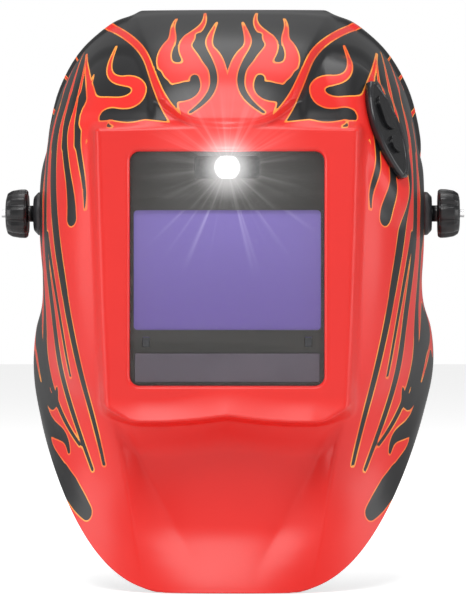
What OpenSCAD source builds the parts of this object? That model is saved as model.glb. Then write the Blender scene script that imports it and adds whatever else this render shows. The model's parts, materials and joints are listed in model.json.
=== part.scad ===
// Auto-darkening welding helmet: a moulded shell that tilts on a ratchet headgear.
// Frame: origin midway between the two pivots, +X to the side with the control pad,
// +Y towards the back of the head, +Z up. Millimetres.

/* [Shell] */
// Wall thickness of the moulded shell
wall = 2.4; // [2:0.1:3]
// Distance from the pivot axis to the front face of the window surround
front_reach = 120; // [118:1:122]
// Half the width of the shell at the pivots
pivot_x = 105; // [104:0.5:106]

/* [Window] */
// Width of the window opening
window_w = 100.5; // [98:0.5:101]
// Height of the window opening's lower edge
window_low = -92; // [-92:1:-90]
// Height of the window opening's upper edge
window_high = 29; // [27:1:29]
// Width of the cover lens
lens_w = 114; // [112:1:115]
// Height of the cover lens
lens_h = 133; // [130:1:134]
// Width of the darkening view
view_w = 97; // [90:1:98]
// Height of the darkening view
view_h = 62; // [58:1:64]

/* [Headgear] */
// Inside radius of the band's rounded ends
band_r = 76; // [75:0.5:77]
// Length of the band's straight sides
band_straight = 40; // [38:1:42]
// Downward slope of the band towards the nape, in degrees
band_tilt = 12; // [10:0.5:13]
// Radial clearance of every shaft in its bore
run_gap = 0.06; // [0.03:0.01:0.09]

/* [Hidden] */
$fn = 64;
window_x = window_w / 2;
window_z = (window_low + window_high) / 2;

// ---------- Shell surface ----------
// Each station is a level of the shell: [front height, front y, half width, rear y, rear height, squareness]
stations = [
  [-199.5, -119, 108, 22, -98, 2.4],
  [-180, -114, 111, 38, -88, 2.5],
  [-150, -108, 112, 52, -76, 2.7],
  [-118, -109, 110.5, 62, -62, 3.0],
  [window_low, -118, 105.5, 68, -44, 3.6],
  [window_z, -front_reach, pivot_x, 70, -8, 4.0],
  [window_high, -119, 103, 64, 34, 3.6],
  [52, -114, 98.5, 56, 60, 3.0],
  [72, -102, 92, 46, 77, 2.6],
  [90, -79, 83, 36, 91, 2.4],
  [103, -48, 71, 26, 102, 2.2],
  [110, -14, 61, 20, 108, 2.0],
  [113.5, 11, 55, 16.5, 111.5, 2.0]
];
// Mesh rows between neighbouring stations, finest where the surface bends most
row_steps = [3, 3, 4, 6, 4, 4, 5, 4, 3, 2, 2, 1];
window_row_low = 16;
window_row_high = 24;
inner_columns = 8;
outer_columns = 18;

function ramp(a, b, x) = let (t = min(1, max(0, (x - a) / (b - a)))) t * t * (3 - 2 * t);
function mix(a, b, t) = a + (b - a) * t;
function cubic(a, b, c, d, t) =
  b + 0.5 * t * (c - a + t * (2 * a - 5 * b + 4 * c - d + t * (3 * (b - c) + d - a)));
function station(i) = stations[min(len(stations) - 1, max(0, i))];
// A level of the shell between stations, by cubic interpolation
function level(r) =
  let (i = min(len(stations) - 2, floor(r)), t = r - i)
  [for (k = [0:5]) cubic(station(i - 1)[k], station(i)[k], station(i + 1)[k], station(i + 2)[k], t)];

// The plain body: x across, and how far round the superellipse that x lies
function body_point(s, x) =
  let (q = min(1, x / s[2]), high = ramp(-190, -118, s[0]),
       flat_x = mix(22, window_x, high), lift = max(0, (x - flat_x) / (s[2] - flat_x)))
  [x, s[3] - (s[3] - s[1]) * pow(max(0, 1 - pow(q, s[5])), 1 / s[5]),
   s[0] + (s[4] - s[0]) * pow(lift, mix(2.7, 1.8, high))];
function column_x(s, j) =
  j <= inner_columns ? window_x * j / inner_columns :
  let (t0 = asin(pow(window_x / s[2], s[5] / 2)),
       t = t0 + (90 - t0) * (j - inner_columns) / outer_columns)
  s[2] * pow(sin(t), 2 / s[5]);

// Half width of the forehead hood at height z
function hood_half(z) = z < 56 ? mix(16, 33, ramp(36, 60, z)) : 33 + (z - 56) * 0.39;
function hood(x, z) =
  (1 - ramp(hood_half(z) - 1, hood_half(z) + 8, x)) * ramp(37 + 0.011 * x * x, 43 + 0.011 * x * x, z);
// Raised band along the rear edge, e in front of that edge
function rear_band(e, z) = (1 - ramp(28, 37, e)) * ramp(18, 44, z);
// Half width of the window surround at height z
function surround_half(z) = 66.2 + 0.036 * (z + 30);
function surround(x, z) =
  (1 - ramp(surround_half(z) - 2, surround_half(z) + 6, x)) * ramp(-106, -101, z) * (1 - ramp(39.5, 46, z));
// Lip under the window, a shallow wave across the front
function lip_z(x) = -107 - 3.5 * sin(min(90, x * 2.4)) + 6 * ramp(46, 66, x);
function lip(x, z) =
  let (d = z - lip_z(x))
  (1 - ramp(60, 74, x)) * (d > 0 ? 1 - ramp(0, 13, d) : 1 - ramp(0, 7, -d));
// Recessed chin panel below the lip
function chin_half(z) = mix(46, 64, ramp(-201, -105, z));
function chin(x, z) =
  (1 - ramp(chin_half(z) - 16, chin_half(z), x)) * ramp(-192, -120, z) * (1 - ramp(-113, -105, z));

function shell_point(r, j) =
  let (s = level(r), x = column_x(s, j), p = body_point(s, x), z = p[2],
       e = s[3] - p[1],
       raise = max(6.5 * hood(x, z) * (1 - 0.5 * ramp(80, 105, z)), 3.5 * rear_band(e, z)) * (1 - ramp(104, 113, z)),
       up = ramp(60, 108, z),
       side = ramp(60, 100, x),
       y1 = p[1] - raise * (1 - 0.75 * up) * (1 - 0.8 * side),
       z1 = z + raise * 0.6 * up * (1 - 0.6 * side),
       x1 = x + raise * 0.8 * side,
       y2 = mix(y1, -front_reach, surround(x, z)),
       y3 = y2 - 9 * lip(x, z) + 7 * chin(x, z),
       flat = 1 - ramp(22, 38, norm([y3, z1])))
  [mix(x1, pivot_x, flat), y3, z1];

rows = concat([0], [for (i = [0:len(row_steps) - 1], k = [1:row_steps[i]]) i + k / row_steps[i]]);
row_count = len(rows);
half_columns = inner_columns + outer_columns;
column_count = 2 * half_columns + 1;

// The control pad's seat: a flat oval patch on the side. The pad stands along pad_up and faces pad_out
pad_at = [81.6, -83.6, 41];
pad_out = [0.79, -0.49, 0.36] / norm([0.79, -0.49, 0.36]);
pad_across = cross([0, 0, 1], pad_out) / norm(cross([0, 0, 1], pad_out));
pad_up = cross(pad_out, pad_across);
function seat(p) =
  let (d = p - pad_at, away = norm([d * pad_up / 31, d * pad_across / 17]),
       m = (p[0] > 50 ? 1 : 0) * (1 - ramp(1, 1.7, away)))
  p - m * (d * pad_out) * pad_out;

outer_grid = [for (r = rows) [for (j = [-half_columns:half_columns])
  let (p = shell_point(r, abs(j))) seat([sign(j) * p[0], p[1], p[2]])]];
function grid_at(i, j) = outer_grid[min(row_count - 1, max(0, i))][min(column_count - 1, max(0, j))];
function grid_normal(i, j) =
  let (n = cross(grid_at(i, j + 1) - grid_at(i, j - 1), grid_at(i + 1, j) - grid_at(i - 1, j)))
  n / norm(n);
function in_window(i, j) =
  i >= window_row_low && i < window_row_high && abs(j + 0.5 - half_columns) < inner_columns;

module shell_skin() {
  outer = [for (i = [0:row_count - 1], j = [0:column_count - 1]) grid_at(i, j)];
  inner = [for (i = [0:row_count - 1], j = [0:column_count - 1]) grid_at(i, j) - wall * grid_normal(i, j)];
  deep = row_count * column_count;
  function at(i, j) = i * column_count + j;
  cells = [for (i = [0:row_count - 2], j = [0:column_count - 2]) if (!in_window(i, j)) [i, j]];
  skins = [for (c = cells) each let (a = at(c[0], c[1]), b = a + 1, d = a + column_count, e = d + 1)
    [[a, d, e], [a, e, b], [deep + a, deep + b, deep + e], [deep + a, deep + e, deep + d]]];
  // A wall closes each cell side that has no neighbour
  function wall_faces(a, b) = [[a, b, deep + b], [a, deep + b, deep + a]];
  function open(i, j) = i < 0 || j < 0 || i > row_count - 2 || j > column_count - 2 || in_window(i, j);
  walls = [for (c = cells) each let (i = c[0], j = c[1],
      a = at(i, j), b = a + 1, d = a + column_count, e = d + 1)
    concat(open(i - 1, j) ? wall_faces(a, b) : [], open(i + 1, j) ? wall_faces(e, d) : [],
           open(i, j - 1) ? wall_faces(d, a) : [], open(i, j + 1) ? wall_faces(b, e) : [])];
  polyhedron(points = concat(outer, inner), faces = concat(skins, walls), convexity = 10);
}

// ---------- Shared shapes ----------
module along_x(x, len, r) { translate([x, 0, 0]) rotate([0, 90, 0]) cylinder(r = r, h = len); }
module along_y(at, len, r) { translate(at) rotate([-90, 0, 0]) cylinder(r = r, h = len); }
module rounded(w, h, r) {
  hull() for (x = [-1, 1], y = [-1, 1]) translate([x * (w / 2 - r), y * (h / 2 - r)]) circle(r, $fn = 32);
}
// A rounded plate that faces the wearer, from y0 back to y1
module plate(w, h, y0, y1, at = [0, 0], r = 4) {
  translate([at[0], y1, at[1]]) rotate([90, 0, 0]) linear_extrude(y1 - y0) rounded(w, h, r);
}
// Pieces are drawn on the +X side; side -1 mirrors them
module on_side(side) { if (side < 0) mirror([1, 0, 0]) children(); else children(); }

// ---------- Shell and pivots ----------
shell_hole_r = 6.5;
// The chin's edge is trimmed level, so that the helmet stands on it
chin_z = -199.2;
module shell() {
  color("crimson") difference() {
    shell_skin();
    translate([-60, -130, chin_z - 10]) cube([120, 40, 10]);
    for (side = [-1, 1]) along_x(side * pivot_x - 6, 12, shell_hole_r);
  }
}

stud_r = 2.5;
bore_r = stud_r + run_gap;
// Stations along the pivot axis, from the band outwards
block_x = [81.2, 88];
shoulder_x = [88.1, 90.1];
stop_x = [90.3, 93.3];
spacer_x = [93.5, 98.8];
bush_x = [99, 102.3];
washer_x = [105.2, 109.7];
knob_x = [109.9, 113, 125.3];
tip_x = 127.6;
module ring_x(span, r) {
  difference() {
    along_x(span[0], span[1] - span[0], r);
    along_x(span[0] - 1, span[1] - span[0] + 2, bore_r);
  }
}
module pivot_bush(side) {
  color("dimgray") on_side(side) difference() {
    union() {
      along_x(bush_x[0], bush_x[1] - bush_x[0], 13);
      along_x(bush_x[0], pivot_x - bush_x[0], shell_hole_r - 0.1);
    }
    along_x(bush_x[0] - 1, 9, bore_r);
  }
}
module outer_washer(side) {
  color("black") on_side(side) rotate([0, 90, 0]) rotate_extrude()
    polygon([[bore_r, washer_x[0]], [11.8, washer_x[0]], [12, washer_x[0] + 0.8], [11.8, washer_x[0] + 2.2],
             [9.8, washer_x[1] - 0.4], [9.2, washer_x[1]], [bore_r, washer_x[1]]]);
}
module pivot_stud(side) {
  color("silver") on_side(side) {
    along_x(84, knob_x[2] + 0.1 - 84, stud_r);
    along_x(shoulder_x[0], shoulder_x[1] - shoulder_x[0], 8);
    difference() {
      along_x(knob_x[2], tip_x - knob_x[2], 2.1);
      translate([knob_x[2] + 0.1, -3, -0.9]) cube([4, 6, 1.8]);
    }
  }
}
module spacer(side) { color("gray") on_side(side) ring_x(spacer_x, 6); }
module pivot_block(side) {
  color("black") on_side(side) difference() {
    translate([block_x[0], 0, -1]) rotate([90, 0, 90]) linear_extrude(block_x[1] - block_x[0]) rounded(22, 26, 4);
    translate([block_x[0] - 1, -20, -rib_h / 2 - 0.3]) cube([2.8, 40, rib_h + 0.6]);
    along_x(block_x[0] - 1, 10, bore_r);
  }
}
// Friction knob with eight shallow finger grooves
module tension_knob(side) {
  color("black") on_side(side) difference() {
    rotate([0, 90, 0]) rotate_extrude()
      polygon([[bore_r, knob_x[0]], [4.5, knob_x[0]], [4.5, knob_x[1]], [13.2, knob_x[1]], [13.6, knob_x[1] + 1.2],
               [12.9, 121.5], [11.6, 124.2], [10, knob_x[2]], [bore_r, knob_x[2]]]);
    for (a = [0:45:315]) rotate([a + 22.5, 0, 0]) translate([knob_x[1] + 2.4, 0, 17.2]) rotate([0, 90, 0])
      cylinder(r = 5, h = 12);
  }
}
module stop_disc() {
  difference() {
    union() {
      along_x(stop_x[0], stop_x[1] - stop_x[0], 16);
      rotate([40, 0, 0]) translate([0, 0, 12.5]) along_x(stop_x[1] - 0.5, 1.5, 2);
    }
    along_x(stop_x[0] - 1, 6, bore_r);
    for (a = [150:30:330]) rotate([a, 0, 0]) translate([0, 0, 12.5]) along_x(stop_x[0] - 1, 6, 1.6);
  }
}
module angle_stop_left() { color("black") on_side(-1) stop_disc(); }
module angle_lever_right() {
  color("black") {
    stop_disc();
    difference() {
      translate([stop_x[0], -4.5, -29]) cube([stop_x[1] - stop_x[0], 9, 15.2]);
      translate([stop_x[0] + 1.6, -2.5, -27]) cube([3, 5, 8]);
    }
  }
}

// ---------- Window and darkening cartridge ----------
// Depths of the window stack, from the front
lens_y = [-117.3, -116.3];
gasket_y = [-116.2, -115.2];
case_y = [-115.1, -105];
back_y = [-104.9, -103.4];
frame_y = [-103.2, -100];
holder_y = [-117, -100];
view_z = -32.2;
cell_at = [36, 17.5];
dial_z = 19;
dial_x = [-42, -24, -6];
button_x = 12;
solar_z = -82.7;
lamp_z = 21;
holder_wall = 2.4;
module lens_holder() {
  color("dimgray") difference() {
    plate(lens_w + 1.2 + 2 * holder_wall, lens_h + 1.2 + 2 * holder_wall, holder_y[0], holder_y[1], [0, window_z], 6);
    plate(lens_w + 1.2, lens_h + 1.2, holder_y[0] - 1, holder_y[1] + 1, [0, window_z], 4);
  }
}
module front_cover_lens() { color("lightblue", 0.3) plate(lens_w, lens_h, lens_y[0], lens_y[1], [0, window_z]); }
module lens_gasket() {
  color("black") difference() {
    plate(lens_w, lens_h, gasket_y[0], gasket_y[1], [0, window_z]);
    plate(lens_w - 8, lens_h - 8, gasket_y[0] - 1, gasket_y[1] + 1, [0, window_z]);
  }
}
module cartridge_housing() {
  color("dimgray") difference() {
    plate(lens_w - 1.2, lens_h - 1.2, case_y[0], case_y[1], [0, window_z]);
    plate(view_w, view_h, case_y[0] - 1, case_y[1] + 1, [0, view_z], 2);
    plate(view_w + 7, view_h + 8, -113.6, case_y[1] + 1, [0, view_z], 2);
    plate(96, 15.2, case_y[0] - 1, -113.1, [0, solar_z], 1);
    plate(34, 12, case_y[0] - 1, -112, [0, lamp_z], 2);
    plate(104, 27, -112.6, case_y[1] + 1, [0, 18.4], 2);
    plate(104, 28, -112.6, case_y[1] + 1, [0, -83.5], 2);
    for (x = [-1, 1]) plate(4, 5.4, case_y[0] - 1, -112, [x * 42, -69.5], 0.6);
  }
}
module cartridge_back() {
  color("dimgray") difference() {
    plate(lens_w - 1.2, lens_h - 1.2, back_y[0], back_y[1], [0, window_z]);
    plate(view_w, view_h, back_y[0] - 1, back_y[1] + 1, [0, view_z], 2);
    for (x = dial_x) along_y([x, back_y[0] - 1, dial_z], 4, 2 + run_gap);
    along_y([button_x, back_y[0] - 1, dial_z], 4, 3.4 + run_gap);
    along_y([cell_at[0], back_y[0] - 1, cell_at[1]], 4, 12.7);
  }
}
module lcd_filter() { color("slateblue") plate(view_w + 6.6, view_h + 7.6, -113.5, -108.5, [0, view_z], 1.5); }
module solar_panel() { color("dimgray") plate(95.6, 14.8, -114.9, -113.3, [0, solar_z], 0.8); }
module arc_sensors() { color("black") for (x = [-1, 1]) plate(3.6, 5, -114.9, -112.2, [x * 42, -69.5], 0.4); }
module lamp_window() { color("white", 0.5) plate(33.6, 11.6, -114.9, -113.4, [0, lamp_z], 1.8); }
module lamp_board() {
  color("white") {
    plate(32, 10, -112.3, -111.1, [0, lamp_z], 1);
    for (x = [-8, 0, 8]) plate(3.5, 3.5, -113.1, -112.3, [x, lamp_z], 0.5);
  }
}
module circuit_board() {
  color("green") {
    plate(98, 22, -109, -107.4, [0, -83.5], 1);
    for (x = [-36, -12, 14, 38]) plate(9, 9, -110.8, -109, [x, -83.5], 0.5);
  }
}
module coin_cell() { color("silver") along_y([cell_at[0], -110.6, cell_at[1]], 5, 12); }
module battery_cap() {
  color("black") difference() {
    along_y([cell_at[0], -105.2, cell_at[1]], 2.6, 12.6);
    translate([cell_at[0] - 8, -103.6, cell_at[1] - 1]) cube([16, 2, 2]);
  }
}
module inner_cover_lens() { color("lightblue", 0.3) plate(104, 72, -103.2, -102.2, [0, view_z], 2); }
module retaining_frame() {
  color("black") difference() {
    plate(lens_w + 0.6, lens_h + 0.6, frame_y[0], frame_y[1], [0, window_z]);
    plate(lens_w - 8, lens_h - 8, frame_y[0] - 1, frame_y[1] + 1, [0, window_z]);
  }
}
module latch(x) {
  color("crimson") {
    plate(16, 14, -99.8, -97.8, [x, -97], 1.5);
    for (z = [-95, -92.5]) plate(12, 1, -97.9, -96.6, [x, z], 0.4);
  }
}
module dial(x) {
  color("black") difference() {
    union() {
      along_y([x, -105, dial_z], 3, 2);
      along_y([x, back_y[1] + 0.2, dial_z], 4, 6.5);
    }
    translate([x - 0.6, -100.4, dial_z]) cube([1.2, 2, 8]);
  }
}
module test_button() { color("red") along_y([button_x, -105, dial_z], 3.6, 3.4); }

// ---------- Outside control pad ----------
module at_pad() {
  m = [for (i = [0:2]) [pad_across[i], pad_up[i], pad_out[i], pad_at[i]]];
  multmatrix([m[0], m[1], m[2], [0, 0, 0, 1]]) children();
}
pad_r = 40;
pad_offset = 27.5;
grind_at = [1, 9];
lamp_button_at = [0, -9];
module control_pad() {
  color("black") at_pad() difference() {
    translate([0, 0, 0.2]) linear_extrude(3.6) intersection() {
      translate([pad_offset, 0]) circle(pad_r);
      translate([-pad_offset, 0]) circle(pad_r);
      square([40, 54], center = true);
    }
    translate([grind_at[0], grind_at[1], 1.2]) linear_extrude(5) rounded(11, 19, 5.4);
    translate([lamp_button_at[0], lamp_button_at[1], 1.2]) cylinder(r = 4.7, h = 5);
  }
}
module grind_button() {
  color("dimgray") at_pad() translate([grind_at[0], grind_at[1], 2.9]) linear_extrude(2.6) rounded(10.6, 18.6, 5.2);
}
module lamp_button() {
  color("dimgray") at_pad() translate([lamp_button_at[0], lamp_button_at[1], 2.9]) cylinder(r = 4.6, h = 2.6);
}
// The cable runs inside the shell as a tube with twelve sides
cable_r = 1.4;
cable_path = [[80.8, -74.5, 40.2], [76.5, -79, 39], [71, -84.4, 37.5], [64, -89.5, 34.5], [57, -94, 30.5],
              [52.6, -97.5, 27.5], [50.2, -99.6, 26], [49.6, -101.6, 25.6]];
module control_cable() {
  sides = 12;
  last = len(cable_path) - 1;
  ring = [for (i = [0:last]) let (
            run = cable_path[min(last, i + 1)] - cable_path[max(0, i - 1)],
            t = run / norm(run), u = cross([0, 0, 1], t) / norm(cross([0, 0, 1], t)), v = cross(t, u))
          for (k = [0:sides - 1]) cable_path[i] + cable_r * (u * cos(k * 360 / sides) + v * sin(k * 360 / sides))];
  color("black") polyhedron(ring, concat(
    [[for (k = [0:sides - 1]) k]],
    [for (i = [0:last - 1], k = [0:sides - 1])
       [i * sides + (k + 1) % sides, i * sides + k, (i + 1) * sides + k, (i + 1) * sides + (k + 1) % sides]],
    [[for (k = [sides - 1:-1:0]) last * sides + k]]));
}

// ---------- Headgear ----------
band_t = 1.6;
band_z = 18;
front_y = 2;
rear_y = front_y + band_straight;
rib_h = 8;
module in_band() { translate([0, 0, band_z]) rotate([-band_tilt, 0, 0]) children(); }
// Part of a ring about the band's vertical direction, from angle a0 to a1
module arc(y, r0, r1, z0, z1, a0, a1) {
  translate([0, y, 0]) rotate([0, 0, a0]) rotate_extrude(angle = a1 - a0) translate([r0, z0]) square([r1 - r0, z1 - z0]);
}
peg_z = 9;
peg_y = [6, 30];
rivet_at = [[8, 2], [32, 2]];
module headband() {
  color("black") in_band() difference() {
    intersection() {
      union() {
        arc(front_y, band_r, band_r + band_t, -17, 17, 180, 360);
        for (side = [-1, 1]) {
          translate([side > 0 ? band_r : -band_r - band_t, front_y - 0.4, -17]) cube([band_t, band_straight + 0.8, 34]);
          arc(rear_y, band_r, band_r + band_t, -17, 17, side > 0 ? 0 : 146, side > 0 ? 34 : 180);
        }
      }
      rotate([90, 0, 90]) linear_extrude(200, center = true)
        polygon([[-80, -17], [-30, -17], [8, -12], [90, -11], [90, 11], [8, 12], [-30, 17], [-80, 17]]);
    }
    for (y = peg_y) translate([0, y, peg_z]) along_x(-90, 180, 2);
    for (p = rivet_at) translate([0, p[0], p[1]]) along_x(-90, 180, 2);
    for (a = [-40:20:40]) rotate([0, 0, a]) along_y([0, -90, 9], 40, 2.6);
  }
}
module sweatband() { color("dimgray") in_band() arc(front_y, band_r - 6.5, band_r - 0.4, -19, 19, 208, 332); }
module slide_rail(side) {
  color("dimgray") on_side(side) difference() {
    union() {
      translate([78, 9, 8]) rotate([90, 0, 90]) linear_extrude(2.8) rounded(70, 36, 6);
      translate([80.8, -24, -rib_h / 2]) cube([1.7, 66, rib_h]);
    }
    in_band() for (p = rivet_at) translate([0, p[0], p[1]]) along_x(60, 30, 2);
  }
}
module rail_rivets() {
  color("silver") for (side = [-1, 1]) on_side(side) in_band() for (p = rivet_at) translate([0, p[0], p[1]]) {
    along_x(74.2, 8.1, 1.9);
    along_x(74.2, 1.4, 3.4);
    along_x(81, 1.3, 3.2);
  }
}
// Crown straps bend over the head as rings about the band's y direction
crown_y = peg_y;
crown_w = 17;
crown_r = 72.6;
module crown_arc(y, r0, r1, w, a0, a1) {
  translate([0, y + w / 2, 0]) rotate([90, 0, 0]) rotate([0, 0, a0])
    rotate_extrude(angle = a1 - a0) translate([r0, 0]) square([r1 - r0, w]);
}
module crown_holes(y, angles) {
  for (a = angles) translate([0, y, 0]) rotate([0, 90 - a, 0]) translate([0, 0, 60]) cylinder(r = 2, h = 30);
}
foot_angle = asin(6 / 74);
module crown_strap(y, side) {
  r0 = side > 0 ? crown_r : crown_r + 1.6;
  color("black") in_band() difference() {
    crown_arc(y, r0, r0 + 1.4, crown_w, side > 0 ? foot_angle : 78, side > 0 ? 102 : 180 - foot_angle);
    crown_holes(y, [78 + 6, 90, 102 - 6]);
    translate([0, y, peg_z]) along_x(side > 0 ? 60 : -90, 30, 2);
  }
}
module crown_pegs() {
  color("gray") in_band() for (y = crown_y) {
    for (a = [84, 96]) translate([0, y, 0]) rotate([0, 90 - a, 0]) {
      translate([0, 0, 71.2]) cylinder(r = 1.9, h = 5.6);
      translate([0, 0, 75.8]) cylinder(r = 3.4, h = 1.3);
    }
    for (side = [-1, 1]) on_side(side) translate([0, y, peg_z]) {
      along_x(70.6, 7, 1.9);
      along_x(69.9, 1.2, 3.4);
    }
  }
}
module crown_pad() { color("dimgray") in_band() crown_arc(18, 64.5, 70.9, 46, 62, 118); }

// ---------- Nape ratchet ----------
strap_r = 74;
strap_mid = strap_r + band_t / 2;
pinion_pitch_r = 5;
pinion_teeth = 10;
pressure = 20;
tooth_thick = 1.3;
rack_z = 11;
rack_root = 1.25;
rack_tip = 0.55;
function involute(a) = tan(a) - a * PI / 180;
// Half angle of a pinion tooth at radius r, in degrees
function tooth_half(r) =
  let (base = pinion_pitch_r * cos(pressure), a = r > base ? acos(base / r) : 0)
  180 / PI * (tooth_thick / 2 / pinion_pitch_r + involute(pressure) - involute(a));
module pinion_gear() {
  radii = [3.6, 4.2, 4.7, 5, 5.3, 5.6, 5.85];
  flank = [for (r = radii) [r, tooth_half(r)]];
  tooth = concat([for (f = flank) [f[0] * sin(f[1]), f[0] * cos(f[1])]],
                 [for (i = [len(flank) - 1:-1:0]) [-flank[i][0] * sin(flank[i][1]), flank[i][0] * cos(flank[i][1])]]);
  color("ivory") in_band() translate([0, rear_y + 76.4, 0]) rotate([90, 0, 0]) difference() {
    linear_extrude(3.2) {
      circle(3.9);
      for (k = [0:pinion_teeth - 1]) rotate(k * 360 / pinion_teeth) polygon(tooth);
    }
    translate([0, 0, -1]) cylinder(r = 2, h = 6);
  }
}
// A strap whose tail carries a rack, below the pinion on the +X side and above it on the -X side
rack_step = PI * pinion_pitch_r * 2 / pinion_teeth;
rack_gap = tooth_thick / 2 + 0.1;
module rack_gap_cut() {
  low = rack_gap - rack_root * tan(pressure);
  high = rack_gap + 2 * tan(pressure);
  translate([0, strap_r - 2, -pinion_pitch_r]) rotate([90, 0, 0]) mirror([0, 0, 1]) linear_extrude(band_t + 4)
    polygon([[-low, -rack_root], [low, -rack_root], [high, 2], [-high, 2]]);
}
module rack_strap(side) {
  step_a = 360 / (2 * PI * strap_mid) * rack_step;
  color("black") in_band() on_side(side) mirror([0, 0, side > 0 ? 0 : 1]) difference() {
    arc(rear_y, strap_r, strap_r + band_t, -rack_z, rack_z, 14, 103.5);
    arc(rear_y, strap_r - 1, strap_r + band_t + 1, rack_tip - pinion_pitch_r, rack_z + 1, 54, 106);
    for (a = [20:7:48]) translate([0, rear_y, 0]) rotate([0, 0, a]) along_x(60, 30, 2);
    for (k = [-14:5]) translate([0, rear_y, 0]) rotate([0, 0, k * step_a]) rack_gap_cut();
  }
}
housing_a = 26;
module ratchet_housing() {
  color("black") in_band() difference() {
    arc(rear_y, 73.2, 80.2, -16, 16, 90 - housing_a, 90 + housing_a);
    arc(rear_y, 72, 78.2, -12.5, 12.5, 90 - housing_a - 2, 90 + housing_a + 2);
    along_y([0, rear_y + 70, 0], 14, 4 + run_gap);
  }
}
module ratchet_cover() {
  color("dimgray") in_band() arc(rear_y, 71.6, 73, -16, 16, 90 - housing_a, 90 + housing_a);
}
module detent_spring() {
  color("silver") in_band() translate([0, rear_y + 77.4, 0]) rotate([90, 0, 0]) difference() {
    cylinder(r = 9, h = 0.6);
    translate([0, 0, -1]) cylinder(r = 6.5, h = 3);
    translate([-1.5, 0, -1]) cube([3, 12, 3]);
  }
}
module ratchet_knob() {
  color("black") in_band() translate([0, rear_y, 0]) {
    along_y([0, 76.6, 0], 4.5, 4);
    along_y([0, 73.2, 0], 4, 1.9);
    difference() {
      along_y([0, 80.6, 0], 14, 21);
      for (a = [0:30:330]) rotate([0, a, 0]) along_y([0, 79, 24.4], 18, 5);
      along_y([0, 91.6, 0], 5, 14);
    }
  }
}
module nape_pad() { color("dimgray") in_band() arc(rear_y, 65, 71.3, -18, 18, 90 - housing_a - 4, 90 + housing_a + 4); }

shell();
pivot_bush(-1);  // pivot_bush_left
pivot_bush(1);  // pivot_bush_right
outer_washer(-1);  // outer_washer_left
outer_washer(1);  // outer_washer_right
lens_holder();
front_cover_lens();
lens_gasket();
cartridge_housing();
cartridge_back();
lcd_filter();
solar_panel();
arc_sensors();
lamp_window();
lamp_board();
circuit_board();
coin_cell();
battery_cap();
inner_cover_lens();
retaining_frame();
latch(-34);  // latch_left
latch(34);  // latch_right
dial(dial_x[0]);  // shade_dial
dial(dial_x[1]);  // sensitivity_dial
dial(dial_x[2]);  // delay_dial
test_button();
control_pad();
grind_button();
lamp_button();
control_cable();
pivot_block(-1);  // pivot_block_left
pivot_block(1);  // pivot_block_right
pivot_stud(-1);  // pivot_stud_left
pivot_stud(1);  // pivot_stud_right
spacer(-1);  // spacer_left
spacer(1);  // spacer_right
angle_stop_left();
angle_lever_right();
tension_knob(-1);  // tension_knob_left
tension_knob(1);  // tension_knob_right
headband();
sweatband();
slide_rail(-1);  // slide_rail_left
slide_rail(1);  // slide_rail_right
rail_rivets();
crown_strap(crown_y[0], -1);  // crown_strap_front_left
crown_strap(crown_y[0], 1);  // crown_strap_front_right
crown_strap(crown_y[1], -1);  // crown_strap_rear_left
crown_strap(crown_y[1], 1);  // crown_strap_rear_right
crown_pegs();
crown_pad();
rack_strap(-1);  // rack_strap_left
rack_strap(1);  // rack_strap_right
ratchet_housing();
ratchet_cover();
detent_spring();
ratchet_knob();
pinion_gear();
nape_pad();
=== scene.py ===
"""Looks of the auto-darkening welding helmet: shell paint, window, knobs, pads and materials.

Lengths are in millimetres until they become mesh points, which are in metres. The frame is the
CAD model's: the window faces -Y, +X is the side with the control pad and +Z is up.
"""

import json
import math

import bpy
import numpy as np
from mathutils import Matrix, Vector

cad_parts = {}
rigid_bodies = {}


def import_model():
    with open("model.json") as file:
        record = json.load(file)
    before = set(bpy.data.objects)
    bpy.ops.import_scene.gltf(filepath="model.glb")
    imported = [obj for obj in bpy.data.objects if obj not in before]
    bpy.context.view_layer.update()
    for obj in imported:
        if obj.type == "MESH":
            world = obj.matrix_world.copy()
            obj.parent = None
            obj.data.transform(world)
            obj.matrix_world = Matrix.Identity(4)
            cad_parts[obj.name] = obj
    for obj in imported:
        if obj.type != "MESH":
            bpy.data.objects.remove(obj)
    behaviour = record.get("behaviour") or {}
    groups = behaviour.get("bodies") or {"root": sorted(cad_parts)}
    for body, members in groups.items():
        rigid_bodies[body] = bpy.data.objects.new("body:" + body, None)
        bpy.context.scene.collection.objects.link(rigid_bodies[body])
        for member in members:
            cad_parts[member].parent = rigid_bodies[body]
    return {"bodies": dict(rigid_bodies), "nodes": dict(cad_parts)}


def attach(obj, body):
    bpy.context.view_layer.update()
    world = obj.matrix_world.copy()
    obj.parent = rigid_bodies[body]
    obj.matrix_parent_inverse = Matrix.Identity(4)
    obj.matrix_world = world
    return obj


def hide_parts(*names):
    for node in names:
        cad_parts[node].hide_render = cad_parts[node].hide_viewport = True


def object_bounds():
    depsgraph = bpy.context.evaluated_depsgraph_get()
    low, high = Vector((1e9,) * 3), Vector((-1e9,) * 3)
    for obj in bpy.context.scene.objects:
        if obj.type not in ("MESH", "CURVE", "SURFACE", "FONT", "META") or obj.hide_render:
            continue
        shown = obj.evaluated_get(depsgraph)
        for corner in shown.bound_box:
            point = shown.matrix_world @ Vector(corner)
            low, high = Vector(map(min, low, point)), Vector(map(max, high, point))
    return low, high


MM = 0.001

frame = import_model()
cad_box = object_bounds()
nodes = frame["nodes"]


# ---------- Meshes and pieces ----------
def piece(name, points, faces, body, slot, *replaced):
    """A mesh from millimetre points that rides on a body and can stand for CAD nodes."""
    mesh = bpy.data.meshes.new(name)
    mesh.from_pydata([tuple(p) for p in np.asarray(points, float) * MM], [], faces)
    mesh.update()
    mesh.shade_smooth()
    obj = bpy.data.objects.new(name, mesh)
    bpy.context.scene.collection.objects.link(obj)
    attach(obj, body)
    if replaced:
        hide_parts(*replaced)
    return obj


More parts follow.
